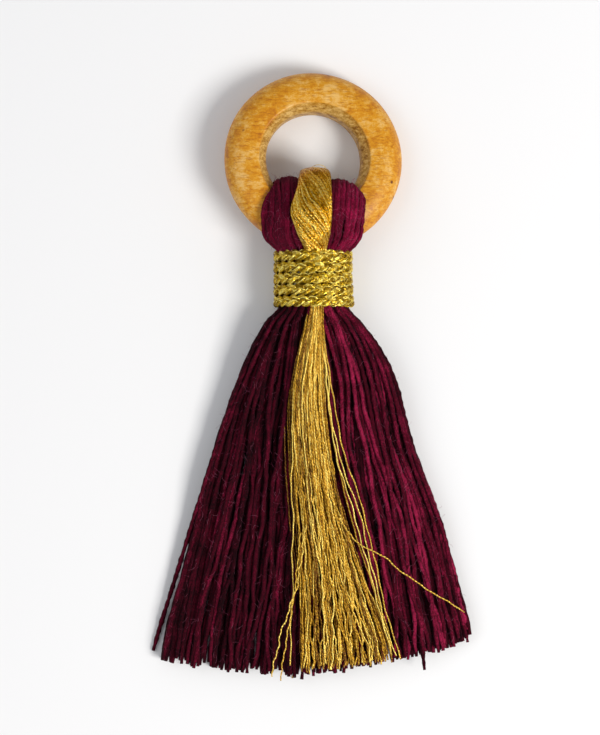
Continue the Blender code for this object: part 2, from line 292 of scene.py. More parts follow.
def add_node(tree, kind, inputs=None, **settings):
    node = tree.nodes.new(kind)
    for key, value in settings.items():
        setattr(node, key, value)
    for key, value in (inputs or {}).items():
        if isinstance(value, bpy.types.NodeSocket):
            tree.links.new(value, node.inputs[key])
        else:
            node.inputs[key].default_value = value
    return node


def ramp(tree, factor, stops):
    """A colour ramp from a list of place and colour."""
    node = add_node(tree, "ShaderNodeValToRGB", {"Fac": factor})
    elements = node.color_ramp.elements
    while len(elements) < len(stops):
        elements.new(0.5)
    for element, (place, colour) in zip(elements, stops):
        element.position = place
        element.color = (*colour, 1.0)
    return node.outputs["Color"]


def noise(tree, vector, scale, detail=3.0, stretch=(1.0, 1.0, 1.0), rough=0.5):
    """Noise that may be longer one way than another."""
    shaped = add_node(tree, "ShaderNodeMapping", {"Vector": vector, "Scale": stretch})
    node = add_node(tree, "ShaderNodeTexNoise", {
        "Vector": shaped.outputs["Vector"], "Scale": scale, "Detail": detail, "Roughness": rough})
    return node.outputs["Fac"]


def maths(tree, operation, first, second=0.0):
    return add_node(tree, "ShaderNodeMath", {0: first, 1: second}, operation=operation).outputs[0]


def weighted(tree, *parts):
    """The sum of patterns, each a pair of socket and weight."""
    shares = [maths(tree, "MULTIPLY", pattern, weight) for pattern, weight in parts]
    total = shares[0]
    for share in shares[1:]:
        total = maths(tree, "ADD", total, share)
    return total


def spread(tree, value, low, high, **limits):
    """Stretches a pattern to run from low to high."""
    inputs = {"Value": value, "To Min": low, "To Max": high}
    inputs.update({key.replace("_", " "): limit for key, limit in limits.items()})
    return add_node(tree, "ShaderNodeMapRange", inputs).outputs["Result"]


def mixed(tree, factor, first, second, blend="MIX"):
    sockets = {"Factor": factor, MIX_COLOURS[0]: first, MIX_COLOURS[1]: second}
    return add_node(tree, "ShaderNodeMix", sockets, data_type="RGBA",
                    blend_type=blend).outputs[MIX_COLOUR_RESULT]


# %% Where a pattern lies, and how a finish ends
TONE_SHIFT = 613.0  # mm, so that no two strands show the same stretch of a pattern


def strand_place(tree):
    """A strand's tone, and its own map: once round, and mm along, begun at a place of its own."""
    tone = add_node(tree, "ShaderNodeAttribute", attribute_name="tone").outputs["Fac"]
    strand = add_node(tree, "ShaderNodeUVMap", uv_map="Strand").outputs["UV"]
    split = add_node(tree, "ShaderNodeSeparateXYZ", {"Vector": strand})
    along = maths(tree, "ADD", split.outputs["Y"], maths(tree, "MULTIPLY", tone, TONE_SHIFT))
    place = add_node(tree, "ShaderNodeCombineXYZ", {"X": split.outputs["X"], "Y": along})
    return tone, place.outputs["Vector"], split.outputs["X"], along


def end_in_shader(tree, shader, colour, roughness, height, strength, distance, **constants):
    """Links a colour, a roughness and a bump to the shader, and sets its other values."""
    bump = add_node(tree, "ShaderNodeBump", {"Height": height, "Strength": strength, "Distance": distance})
    tree.links.new(colour, shader.inputs["Base Color"])
    tree.links.new(roughness, shader.inputs["Roughness"])
    tree.links.new(bump.outputs["Normal"], shader.inputs["Normal"])
    for key, value in constants.items():
        shader.inputs[key.replace("_", " ")].default_value = value


# %% [markdown]
# ## Wool
#
# Soft wool yarn is matt, with a bloom of light along its edge where short fibres stand up, and
# that bloom is what sheen does. The dye takes unevenly, so each yarn has its own tone and drifts
# between wine and a redder magenta along its length. Fine fibres run nearly along the yarn: a
# noise that is stretched along the strand's own map gives their grooves. The fibres shade each
# other on a yarn's flanks, and that shade is painted into the colour: deep on the flanks and
# clearer where the yarn faces straight up or down.

# %% Wool finish
FIBRES = dict(scale=1.0, detail=5.0, stretch=(11.0, 3.0, 1.0), rough=0.72)
DRIFT = dict(scale=420.0, detail=2.0)
FIBRE_HEIGHT = 0.26 * MM


def wool_finish(name, dark, middle, light, painted_flank_light):
    """Wool from three dyes. The last value sets how light the painted shade leaves each yarn's sides."""
    material, tree, shader = new_finish(name)
    tone, strand, round_share, _ = strand_place(tree)
    place = add_node(tree, "ShaderNodeTexCoord").outputs["Object"]
    fibres = noise(tree, strand, **FIBRES)
    drift = noise(tree, place, **DRIFT)
    blend = weighted(tree, (tone, 0.34), (drift, 0.34), (fibres, 0.78))
    colour = ramp(tree, blend, [(0.52, dark), (0.77, middle), (1.02, light)])
    # Painted shade: the colour is darkened on the sides of each yarn and kept clear where it faces up or
    # down.
    swing = maths(tree, "SINE", maths(tree, "MULTIPLY", round_share, 2.0 * math.pi))
    flank_painted_shade = spread(tree, maths(tree, "ABSOLUTE", swing), painted_flank_light, 1.0, From_Min=0.15, From_Max=0.95)
    shade = add_node(tree, "ShaderNodeCombineColor", {channel: flank_painted_shade for channel in range(3)})
    end_in_shader(tree, shader, mixed(tree, 1.0, colour, shade.outputs["Color"], "MULTIPLY"),
                  spread(tree, fibres, 0.75, 0.95), fibres, 1.0, FIBRE_HEIGHT,
                  Specular_IOR_Level=0.08, Sheen_Weight=0.05, Sheen_Roughness=0.35,
                  Sheen_Tint=(1.0, 0.35, 0.55, 1.0))
    return material


wool = wool_finish("maroon wool", (0.008, 0.0003, 0.0015), (0.085, 0.0018, 0.012),
                   (0.43, 0.018, 0.078), 0.10)
packed_wool = wool_finish("packed maroon wool", (0.020, 0.0005, 0.004), (0.13, 0.002, 0.019),
                          (0.46, 0.012, 0.080), 0.42)
# The fuzz finish is paler than the yarn: loose fibres are lighter, and painted light stands in for the light
# that they catch.
fuzz_wool_painted_light = wool_finish("wool fuzz", (0.12, 0.01, 0.04), (0.32, 0.07, 0.14),
                        (0.55, 0.22, 0.30), 1.0)

# %% [markdown]
# ## Gold thread
#
# Metallic thread is a thin foil wound on a fine core. Each turn of the foil faces its own way, so
# the metal shows many small bright and dull flecks, and these glints are painted into the colour
# as well as shaping its bump and roughness. A wave along the strand's map, slanted as the foil is
# wound, gives the turns, and noise breaks them up.

# %% Gold finish
SPOTS = dict(scale=1.0, detail=3.0, stretch=(2.0, 1.6, 1.0), rough=0.6)
FOIL_HEIGHT = 0.09 * MM


def gold_finish(name, dark, middle, light, metal, roughness, turns):
    """Gold from three shades of foil, wound a number of turns to each mm, with glints painted in."""
    material, tree, shader = new_finish(name)
    tone, strand, round_share, along = strand_place(tree)
    slant = maths(tree, "ADD", round_share, maths(tree, "MULTIPLY", along, turns))
    wound = maths(tree, "SINE", maths(tree, "MULTIPLY", slant, 2.0 * math.pi))
    wound = maths(tree, "ADD", maths(tree, "MULTIPLY", wound, 0.5), 0.5)
    flecks_and_painted_glints = noise(tree, strand, **SPOTS)
    # Painted glints: the flecks and the turns of the foil lighten and darken the colour, on top of each
    # thread's own tone.
    blend = weighted(tree, (tone, 0.42), (flecks_and_painted_glints, 0.52), (wound, 0.10))
    colour = ramp(tree, blend, [(0.34, dark), (0.53, middle), (0.76, light)])
    end_in_shader(tree, shader, colour, spread(tree, flecks_and_painted_glints, roughness - 0.1, roughness + 0.15),
                  weighted(tree, (wound, 0.6), (flecks_and_painted_glints, 0.4)), 1.0, FOIL_HEIGHT, Metallic=metal)
    return material


thread_gold = gold_finish("pale gold thread", (0.14, 0.050, 0.001), (0.60, 0.315, 0.013),
                          (1.0, 0.76, 0.17), 0.60, 0.27, 1.6)
bundle_gold = gold_finish("bright gold thread", (0.20, 0.065, 0.0), (0.66, 0.335, 0.007),
                          (1.0, 0.84, 0.24), 1.0, 0.25, 1.6)
cord_gold = gold_finish("gold cord", (0.22, 0.12, 0.001), (0.66, 0.42, 0.010),
                        (1.0, 0.86, 0.22), 0.75, 0.25, 1.2)

# %% [markdown]
# ## Turned wood
#
# The ring was cut from a flat board, so the grain runs one way across it while the lathe marks run
# round it. An amber oil soaked in unevenly and left peach patches where the wood is dense. Short
# dark pores and a few knots of darker grain finish it, under a satin film. The wall of the hole
# has a browner colour of its own.

# %% Wood finish
CLOUDS = dict(scale=260.0, detail=5.0, stretch=(1.0, 0.75, 1.0), rough=0.7)
STREAKS = dict(scale=1000.0, detail=5.0, stretch=(0.7, 1.4, 1.0), rough=0.8)
DASHES = dict(scale=1900.0, detail=3.0, stretch=(0.35, 1.9, 1.0), rough=0.7)
PORE_PATCHES = dict(scale=120.0, detail=1.0)
PORE_SCALE = 330.0
GRAIN_HEIGHT = 0.1 * MM
WHITE = (1.0, 1.0, 1.0)
OILED = [(0.38, (0.44, 0.14, 0.0)), (0.47, (0.60, 0.235, 0.0)),
         (0.515, (0.66, 0.30, 0.012)), (0.60, (0.76, 0.45, 0.12))]
HOLE_WALL_COLOURS = [(0.38, (0.14, 0.055, 0.006)), (0.49, (0.42, 0.23, 0.045)), (0.60, (0.66, 0.43, 0.14))]
GRAIN_LINES = [(0.36, (0.62, 0.46, 0.30)), (0.48, WHITE)]
PORES = [(0.05, (0.16, 0.06, 0.03)), (0.13, WHITE)]


def wood_finish(name):
    material, tree, shader = new_finish(name)
    place = add_node(tree, "ShaderNodeTexCoord").outputs["Object"]
    clouds = noise(tree, place, **CLOUDS)
    streaks = noise(tree, place, **STREAKS)
    dashes = noise(tree, place, **DASHES)
    oiled = ramp(tree, weighted(tree, (clouds, 0.55), (streaks, 0.45)), OILED)
    lined = mixed(tree, 0.7, oiled, ramp(tree, dashes, GRAIN_LINES), "MULTIPLY")
    cells = add_node(tree, "ShaderNodeTexVoronoi", {"Vector": place, "Scale": PORE_SCALE}, feature="F1")
    pores = ramp(tree, cells.outputs["Distance"], PORES)
    patches = noise(tree, place, **PORE_PATCHES)
    rare = spread(tree, patches, 0.0, 1.0, From_Min=0.54, From_Max=0.59)
    pored = mixed(tree, rare, lined, mixed(tree, 1.0, lined, pores, "MULTIPLY"))
    in_hole = add_node(tree, "ShaderNodeAttribute", attribute_name="hole wall").outputs["Fac"]
    colour = mixed(tree, maths(tree, "MULTIPLY", in_hole, 0.8), pored, ramp(tree, streaks, HOLE_WALL_COLOURS))
    end_in_shader(tree, shader, colour, spread(tree, streaks, 0.36, 0.58),
                  weighted(tree, (dashes, 0.5), (streaks, 0.5)), 0.35, GRAIN_HEIGHT,
                  Specular_IOR_Level=0.35, Coat_Weight=0.06, Coat_Roughness=0.25)
    return material


wood = wood_finish("amber wood")

# %% [markdown]
# ## The ring
#
# A lathe shapes a ring from a section that it carries round a circle. The hole is straight in its
# middle and flares to a small soft edge on both faces, and the outside is well rounded. Hand
# sanding leaves it a little uneven, so the radius and the thickness drift slightly round the ring.

# %% Section of the ring
HOLE_FLARE = 1.2 * MM
HOLE_STRAIGHT_HALF = 0.9 * MM
EDGE_ROUND = 0.45 * MM
BULGE_START = 10.8 / 15.0
WALL_POINTS = 7
EDGE_POINTS = 6
OUTSIDE_POINTS = 37


def ring_section():
    """Points round the section: the flared hole wall, its soft edges and the bulging outside."""
    bulge_start = ring_radius * BULGE_START
    bulge = ring_radius - bulge_start
    top = ring_half_thickness
    edge = top - EDGE_ROUND
    wall = [(hole_radius + HOLE_FLARE * t * t, HOLE_STRAIGHT_HALF + (edge - HOLE_STRAIGHT_HALF) * t)
            for t in np.linspace(0.0, 1.0, WALL_POINTS)]
    corner = hole_radius + HOLE_FLARE + EDGE_ROUND
    soft = [(corner - EDGE_ROUND * math.cos(a), edge + EDGE_ROUND * math.sin(a))
            for a in np.linspace(0.0, math.pi / 2, EDGE_POINTS)[1:]]
    outer = [(bulge_start + bulge * math.cos(a), top * math.sin(a))
             for a in np.linspace(math.pi / 2, -math.pi / 2, OUTSIDE_POINTS)]
    under = [(r, -h) for r, h in reversed(wall + soft)]
    return np.array(wall + soft + outer + under)[::-1]


section = ring_section()
print("ring section:", len(section), "points")

# %% Turn the ring
RING_STEPS = 220
SANDING = 0.05 * MM
THINNED = 0.012
THICKNESS_DRIFT = 0.010
WALL_BLEND = 0.35 * MM


def turned_points(turn):
    """The section carried round the circle, a little uneven on its outside."""
    drift = SANDING * (np.sin(3 * turn + 0.6) + 0.6 * np.sin(7 * turn + 2.0)) / 1.6
    outside = (section[:, 0] - hole_radius) / (ring_radius - hole_radius)
    radius = section[None, :, 0] + drift[:, None] * outside[None, :] - SANDING * outside[None, :]
    thickness = 1.0 - THINNED + THICKNESS_DRIFT * np.sin(2 * turn + 1.0)
    height = section[None, :, 1] * thickness[:, None]
    local = np.stack([radius * np.cos(turn)[:, None], radius * np.sin(turn)[:, None], height], axis=-1)
    return ring_centre + local @ ring_basis


def make_ring():
    points = turned_points(2.0 * np.pi * np.arange(RING_STEPS) / RING_STEPS)
    count = len(section)
    i, j = np.meshgrid(np.arange(RING_STEPS), np.arange(count), indexing="ij")
    ahead, onward = (i + 1) % RING_STEPS, (j + 1) % count
    faces = np.stack([i * count + j, ahead * count + j, ahead * count + onward, i * count + onward], axis=-1)
    mesh = bpy.data.meshes.new("turned_ring")
    mesh.from_pydata(points.reshape(-1, 3).tolist(), [], faces.reshape(-1, 4).tolist())
    corners = np.stack([np.stack([i, j], -1), np.stack([i + 1, j], -1),
                        np.stack([i + 1, j + 1], -1), np.stack([i, j + 1], -1)], axis=2)
    uv = 0.01 + 0.98 * corners / np.array([RING_STEPS, count])
    mesh.uv_layers.new(name="OFBake").data.foreach_set("uv", uv.ravel().astype(np.float32))
    hole_wall = np.clip((hole_radius + HOLE_FLARE - section[:, 0]) / WALL_BLEND + 0.6, 0.0, 1.0)
    mask = mesh.attributes.new("hole wall", "FLOAT", "POINT")
    mask.data.foreach_set("value", np.tile(hole_wall, RING_STEPS).astype(np.float32))
    mesh.shade_smooth()
    print("turned_ring:", 2 * len(mesh.polygons), "triangles")
    return put_in_scene("turned_ring", mesh)


ring = make_ring()
ring.data.materials.append(wood)
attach(ring, "root")
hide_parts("ring")

# %% [markdown]
# ## Keeping yarn out of the wood
#
# Yarn that wraps a ring can't sink into it. This helper looks at each point of a path in the
# ring's own frame, and moves a point that is inside the wood, or closer than the yarn's own
# radius, straight out to the surface. Towards the hole the section is nearly a square with soft
# corners, and towards the outside it is nearly an oval, so one formula with two powers tests it.

# %% Push paths out of the ring
HOLE_SIDE_POWER = 4.5  # 2 is an oval, and more is squarer
OUTER_SIDE_POWER = 2.2


def clear_of_ring(paths, room):
    local = (paths - ring_centre) @ ring_basis.T
    from_centre = np.hypot(local[..., 0], local[..., 1])
    sideways = from_centre - tube_radius
    level = local[..., 2]
    power = np.where(sideways < 0.0, HOLE_SIDE_POWER, OUTER_SIDE_POWER)
    inside = ((np.abs(sideways) / (tube_half_width + room)) ** power
              + (np.abs(level) / (ring_half_thickness + room)) ** power)
    push = np.where(inside < 1.0, np.maximum(inside, 1e-4) ** (-1.0 / power), 1.0)
    new_radius = tube_radius + sideways * push
    local[..., 0] *= new_radius / from_centre
    local[..., 1] *= new_radius / from_centre
    local[..., 2] = level * push
    return ring_centre + local @ ring_basis


def wrapped_on_ring(paths, room, rounds=6):
    """Settles paths on the wood: push out, smooth, and push out again."""
    for _ in range(rounds):
        paths = smoothed(clear_of_ring(paths, room), 2)
    return clear_of_ring(paths, room)


print("wood section, mm:", round(2 * tube_half_width / MM, 2), "by", round(2 * ring_half_thickness / MM, 2))

# %% [markdown]
# ## The outline of the skirt
#
# The skirt is the cut wool below the binding, and its hem is uneven. Slices of the solid say how
# wide and high it is at each place. Near the hem the solid is cut into tufts of different lengths,
# where a slice would miss part of the width. So the outline is carried on down to the hem by the
# slope above it, and the tips of the tufts say how long the yarns are.

# %% Outline of the skirt and its hem
SKIRT_SLICES = 40
SLOPE_SLICES = 8
HEM_STOPS = 27
TUFT_ZONE = 8.0 * MM
TIP_ZONE = 12.0 * MM
FLARE_KEPT = 0.6
HEM_WINDOW = 1.7 * MM
hem_line = wool_low.y
skirt_stops = np.linspace(hem_line + TUFT_ZONE, skirt_top + 0.5 * MM, SKIRT_SLICES)
skirt_slices = np.array([slice_solid(wool_edges, y) for y in skirt_stops])
flare = (skirt_slices[0] - skirt_slices[SLOPE_SLICES]) / (skirt_stops[0] - skirt_stops[SLOPE_SLICES])
at_hem_line = skirt_slices[0] + FLARE_KEPT * flare * (hem_line - skirt_stops[0])
skirt_slices = np.concatenate([[at_hem_line], skirt_slices])
skirt_stops = np.concatenate([[hem_line], skirt_stops])


def outline_at(along, stops, slices):
    """Middle, half width, low and high of a solid at places between its slices."""
    left, right, low, high = (np.interp(along, stops, slices[:, side]) for side in range(4))
    return (left + right) / 2, (right - left) / 2, low, high


def skirt_outline(along):
    """Middle and half width, middle height and half height of the skirt at places along it."""
    mid, half, low, high = outline_at(along, skirt_stops, skirt_slices)
    return mid, half, (low + high) / 2, (high - low) / 2


def hem_at(across):
    """How low the wool reaches at places across the hem, read off the solid's tuft tips."""
    points = np.concatenate(wool_edges)
    points = points[points[:, 1] < hem_line + TIP_ZONE]
    stops = np.linspace(wool_low.x, wool_high.x, HEM_STOPS)
    lowest = [points[np.abs(points[:, 0] - x) < HEM_WINDOW][:, 1].min() for x in stops]
    rounded = np.convolve(np.pad(lowest, 1, mode="edge"), [0.25, 0.5, 0.25], "valid")
    return np.interp(across, stops, rounded)


def crown(position, squareness=2.4):
    """Height of a rounded top, 1 in the middle and 0 at both edges."""
    return np.maximum(0.0, 1.0 - np.abs(position) ** squareness) ** (1.0 / squareness)


print("skirt, mm:", round((skirt_top - hem_line) / MM, 1), "long and",
      round((at_hem_line[1] - at_hem_line[0]) / MM, 1), "wide at the hem")

# %% [markdown]
# ## The gold strip under the back
#
# Behind, a flat strip of gold thread lies between the wool and the table. The wool above it has to
# rise over it, so the strip's half width is read off the solid first.

# %% Width of the gold strip
BACK_GOLD_ROOM = 0.55 * MM
STRIP_SLICES = 14
STRIP_TOP = 1.2 * MM
STRIP_WINDOW = 6.0 * MM
strip_stops = np.linspace(gold_low.y + 5.0 * MM, skirt_top - 3.0 * MM, STRIP_SLICES)
gold_points = np.concatenate(gold_edges)
under_points = gold_points[gold_points[:, 2] < STRIP_TOP]
strip_widths = [np.abs(under_points[np.abs(under_points[:, 1] - y) < STRIP_WINDOW][:, 0]).max()
                for y in strip_stops]


def gold_strip(along):
    """Half the width of the gold that lies under the wool."""
    return np.interp(along, strip_stops, strip_widths)


print("gold strip under the back:", round(2 * max(strip_widths) / MM, 1), "mm wide at most")

# %% [markdown]
# ## The paths of the skirt yarn
#
# Every yarn starts inside the neck and keeps its own share of the width all the way down, so the
# fan opens evenly. At the neck the yarns are packed many deep, and as the skirt widens, deeper
# ones come up into the gaps. So each yarn has one depth at the neck and another at the hem. Slow
# waves let them wander and cross a little. Hair particles could do this too, but a formula keeps
# the yarns close to the outline.

# %% Paths of the skirt yarn
YARN_RADIUS = 0.385 * MM
UNDER_BINDING = 2.0 * MM
CLUMPS = 7.0  # small groups on each side of the middle
CLUMP_PULL = 0.010
CORNER_LIFT = 1.3 * MM  # how much shorter the outermost yarns are
NECK_MIXING = 0.17  # how far yarns change places at the neck, in half widths
DEEPENING = 1.5  # above 1, a yarn soon leaves its depth at the neck for its depth at the hem
YARN_WAVES = ((0.9, 0.85), (2.1, 0.62), (4.6, 0.32), (9.0, 0.15), (15.0, 0.06))
DEPTH_WAVES = ((1.7, 0.35), (4.3, 0.10))


def spread_out(rng, count, limit=0.985):
    """Places from -1 to 1: even, then pulled into small groups and nudged by chance."""
    even = np.linspace(-limit, limit, count)[:, None]
    begin = rng.uniform(0.0, 2.0 * np.pi)
    grouped = even + CLUMP_PULL * np.sin(2.0 * np.pi * CLUMPS * even + 4.0 * even ** 2 + begin)
    return np.clip(grouped + rng.normal(0.0, 0.45 / count, (count, 1)), -limit, limit)


def skirt_route(rng, count, share):
    """Where each yarn of a layer runs: its share of the width, and its place along the tassel."""
    at_hem = spread_out(rng, count)
    at_neck = np.clip(at_hem * 0.95 + rng.normal(0.0, NECK_MIXING, (count, 1)), -0.93, 0.93)
    position = at_neck + (at_hem - at_neck) * (1.0 - (1.0 - share) ** 3)
    mid, half = skirt_outline(np.array([hem_line + 2.0 * MM]))[:2]
    end = hem_at(mid[0] + half[0] * at_hem) + rng.normal(0.10, 0.4, (count, 1)) * MM
    end = end + CORNER_LIFT * (1.0 + 0.7 * at_hem) * at_hem ** 6
    start = skirt_top + UNDER_BINDING
    return position, start + (end - start) * share


def skirt_paths(rng, count, points, neck_depth, hem_depth, from_back=False, sway=1.0):
    """Paths of one layer of yarn. Depths are ranges in metres under the layer's own face."""
    share = np.linspace(0.0, 1.0, points)[None, :]
    position, along = skirt_route(rng, count, share)
    mid, half, height, half_height = skirt_outline(along)
    room = YARN_RADIUS * SLUB_ROOM
    across = mid + (half - room) * position
    wander = waver(rng, count, share, YARN_WAVES)
    across += sway * wander * np.sqrt(share) * (1.0 - 0.85 * np.abs(position) ** 5)
    depth = rng.uniform(*neck_depth, (count, 1)) * (1.0 - share) ** DEEPENING
    depth = depth + rng.uniform(*hem_depth, (count, 1)) * (1.0 - (1.0 - share) ** DEEPENING)
    depth += np.abs(waver(rng, count, share, DEPTH_WAVES)) * share
    face = half_height * crown(position)
    if from_back:
        under_gold = BACK_GOLD_ROOM * np.exp(-(across / gold_strip(along)) ** 6)
        level = np.maximum(height - face + room + depth, room)
        level = np.minimum(np.where(share > 0.1, room + depth, level) + under_gold, height)
    else:
        level = height + np.maximum(face - room - depth, 0.0)
    return np.stack([across, along, level], axis=-1)


# %% [markdown]
# ## Spinning the skirt yarn
#
# The skirt is made in three pieces: the yarns on its face, a layer that fills the gaps
# between them, darker with painted shade, and those at the back, which lie flat where the tassel
# rests. The right side of the face is given clearer tones: painted light, where the lamp on the
# right falls.

# %% Spin the skirt yarn
YARN_PITCH = 3.2 * MM
FLAT_ACROSS = (1.0, 0.0, 0.0)
LIT_FROM = 4.0 * MM
LIT_WIDTH = 8.0 * MM


def dress(thing, material, slot, *nodes):
    """Gives a piece its finish and its body, and hides the solids that it stands for."""
    thing.data.materials.append(material)
    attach(thing, "root")
    if nodes:
        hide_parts(*nodes)


def wool_piece(name, paths, sides, tones, seed, *nodes, radius=YARN_RADIUS, ply=0.16, finish=wool):
    rng = np.random.default_rng(seed)
    thickness = slubs(rng, len(paths), paths.shape[1], radius)
    yarn = strands(name, paths, thickness, sides, FLAT_ACROSS, ply, YARN_PITCH, tones, seed)
    dress(yarn, finish, "maroon_wool", *nodes)


rng = np.random.default_rng(7)
front_paths = skirt_paths(rng, 68, 84, (0.0, 2.6 * MM), (0.0, 0.85 * MM))
under_paths = skirt_paths(rng, 76, 60, (1.0 * MM, 3.4 * MM), (0.8 * MM, 1.6 * MM), sway=0.5)
back_paths = skirt_paths(rng, 50, 52, (0.0, 2.0 * MM), (0.0, 0.3 * MM), from_back=True, sway=0.6)
inner_paths = skirt_paths(rng, 44, 52, (1.0 * MM, 3.0 * MM), (0.8 * MM, 1.4 * MM), from_back=True, sway=0.5)
back_paths = np.concatenate([back_paths, inner_paths])
# Painted light: yarns towards the right of the face get clearer tones, where the lamp on the right falls; the
# rest of the tone is each yarn's own dye.
painted_light_right = np.clip((front_paths[:, -1, 0] - LIT_FROM) / LIT_WIDTH, 0.0, 1.0)
front_tones_with_painted_light = 0.62 * rng.uniform(0.0, 1.0, len(front_paths)) ** 1.2 + 0.40 * painted_light_right
wool_piece("skirt_front", front_paths, 9, front_tones_with_painted_light, 1, "yarn_hank")
# Painted shade: the under layer gets only low tones, for the shade that it lies in below the face yarns.
wool_piece("skirt_under", under_paths, 8, 0.25 * rng.uniform(0.0, 1.0, len(under_paths)), 2)
wool_piece("skirt_back", back_paths, 8, rng.uniform(0.1, 0.7, len(back_paths)), 3)

# %% [markdown]
# ## Yarns that went astray
#
# No handmade skirt hangs in perfect order. One yarn has left the left edge and ends on its own, two
# stand off the right edge, and one short end reaches out under the hem. Each is led by a few
# marks: how far down the skirt it is, how far across in half widths, and how high above the wool.

# %% Strays of wool
def led_paths(rows, points):
    """Paths that follow their marks of (share down, half widths across, mm above the wool)."""
    paths = []
    for marks in map(np.array, rows):
        share = np.linspace(marks[0, 0], marks[-1, 0], points)
        across, above = (np.interp(share, marks[:, 0], marks[:, c]) for c in (1, 2))
        along = skirt_top + UNDER_BINDING + (hem_line - skirt_top - UNDER_BINDING) * share
        mid, half, height, half_height = skirt_outline(along)
        level = np.where(np.abs(across) < 1.0, height + half_height * crown(across), height * 0.8)
        level = np.maximum(level + above * MM, YARN_RADIUS)
        paths.append(np.stack([mid + (half - YARN_RADIUS) * across, along, level], axis=-1))
    return smoothed(np.array(paths), 30)


WOOL_STRAYS = [
    [(0.0, -0.88, -1.5), (0.30, -0.95, -0.8), (0.50, -0.985, -0.3), (0.642, -1.02, 0.0), (0.747, -1.03, -0.6),
     (0.853, -1.035, -1.2), (0.94, -1.055, -1.8)],
    [(0.0, 0.86, -1.5), (0.10, 0.96, -0.2), (0.17, 0.99, 0.0), (0.27, 0.99, 0.0), (0.36, 0.975, -0.6),
     (0.60, 0.96, -0.9), (0.905, 0.96, -1.5)],
    [(0.0, 0.90, -1.2), (0.40, 0.96, -0.4), (0.56, 0.975, -0.2), (0.63, 1.0, -0.2), (0.72, 0.965, -0.6),
     (0.915, 0.965, -1.5)],
    [(0.0, 0.60, -1.5), (0.30, 0.62, -1.0), (0.60, 0.65, -1.0), (0.85, 0.665, -0.9), (0.985, 0.665, -0.9)],
]
wool_piece("stray_yarns", led_paths(WOOL_STRAYS, 110), 9, [0.45, 0.2, 0.6, 0.3], 14)

# %% [markdown]
# ## The loop round the ring
#
# Above the binding the same wool climbs over the ring, turns down through the hole and comes back
# behind. A path for this has three runs: up the front, round the top, and down the back. The
# half-way heights come from slices of the solid. The yarns beside the middle reach highest and
# make two soft lobes, with a saddle between them for the gold.

# %% Outline of the head
SADDLE_DEPTH = 1.3 * MM
SADDLE_WIDTH = 0.26  # in half widths
RIGHT_LOWER = 0.45 * MM  # the right lobe is a little lower than the left
SHOULDER_DROP = 3.6 * MM
head_top = wool_high.y
HEAD_SLICES = 44
head_stops = np.linspace(skirt_top + 1.0 * MM, head_top - 1.0 * MM, HEAD_SLICES)
head_slices = np.array([slice_solid(wool_edges, y) for y in head_stops])
widest = skirt_top + 0.72 * (head_top - skirt_top)


def head_outline(along):
    return outline_at(along, head_stops, head_slices)


def lobe_top(position):
    """How far up each yarn's turn reaches: highest beside the middle, lower at the sides."""
    saddle = SADDLE_DEPTH * np.exp(-(position / SADDLE_WIDTH) ** 2)
    right_side = RIGHT_LOWER * (position > 0)
    return head_top - saddle - right_side - SHOULDER_DROP * np.abs(position) ** 4.5


half_widest, low_widest, high_widest = head_outline(np.array([widest]))[1:]
print("head, mm:", round(2 * half_widest[0] / MM, 1), "wide and",
      round((high_widest[0] - low_widest[0]) / MM, 1), "high where it is widest")

# %% [markdown]
# ## The paths of the head yarn
#
# The turn over the ring is half an ellipse from the front height to the back height. Every yarn
# swells out just above the binding, like a collar, and is tucked in a little at the back. Last,
# the push out of the wood settles it on the ring.

# %% Paths of the head yarn
HEAD_YARN = 0.35 * MM
COLLAR = 1.6 * MM  # how far the yarn swells out above the binding
COLLAR_HEIGHT = 1.2 * MM
COLLAR_REACH = 1.6 * MM
BACK_TUCK = 0.15
HEAD_WAVES = ((1.1, 0.40), (2.3, 0.28), (4.0, 0.12))


def head_route(at_top, depth, points):
    """Place along and height of each yarn's middle run: front, turn and back, and its spread."""
    third = points // 3
    rise = np.linspace(0.0, 1.0, third)[None, :]
    start = neck_top - 2.2 * MM
    front_y = start + (widest - start) * rise
    turn = np.linspace(0.0, np.pi, points - 2 * third + 2)[None, 1:-1]
    spread_share = np.concatenate([rise ** 0.7, np.ones_like(turn), rise[:, ::-1] ** 0.7], axis=1)
    turn_y = widest + (lobe_top(at_top) - depth - widest) * np.sin(turn) ** 0.85
    along = np.concatenate([front_y + 0 * at_top, turn_y, front_y[:, ::-1] + 0 * at_top], axis=1)
    height_mid = (low_widest + high_widest) / 2
    turn_z = height_mid + (high_widest - height_mid) * np.sign(np.cos(turn)) * np.abs(np.cos(turn)) ** 0.75
    front_low, front_high = head_outline(front_y)[2:]
    level = np.concatenate([front_high, turn_z, front_low[:, ::-1]], axis=1)
    return along, level, spread_share


def head_paths(rng, positions, points, depth):
    """Yarn over the ring: up the front, round the top and down the back."""
    count = len(positions)
    at_top = np.asarray(positions)[:, None]
    at_neck = np.clip(0.88 * at_top + rng.normal(0.0, 0.11, (count, 1)), -0.98, 0.98)
    depth = depth + rng.uniform(0.0, 0.10, (count, 1)) * MM
    along, level, spread_share = head_route(at_top, depth, points)
    position = at_neck + (at_top - at_neck) * spread_share
    mid, half, low, high = head_outline(along)
    centre = (low + high) / 2
    room = HEAD_YARN * SLUB_ROOM
    away = level + 0 * position - centre
    inset = np.maximum(np.abs(away) * crown(position * 0.97, 3.0) - room - depth, 0.0)
    level = centre + np.sign(away) * inset
    half = np.where(along > widest, half_widest, half)
    half = half + COLLAR * np.exp(-((along - neck_top - COLLAR_HEIGHT) / COLLAR_REACH) ** 2)
    across = mid + (half - room) * position
    share = np.linspace(0.0, 1.0, along.shape[1])[None, :]
    wander = waver(rng, count, share, HEAD_WAVES)
    across = across + wander * np.sin(np.pi * share) * (1.0 - np.abs(position) ** 3)
    across = mid + (across - mid) * (1.0 - BACK_TUCK * np.clip(4.0 * share - 2.2, 0.0, 1.0))
    paths = wrapped_on_ring(smoothed(np.stack([across, along, level], axis=-1), 2), room)
    paths[..., 2] = np.maximum(paths[..., 2], room)
    return paths


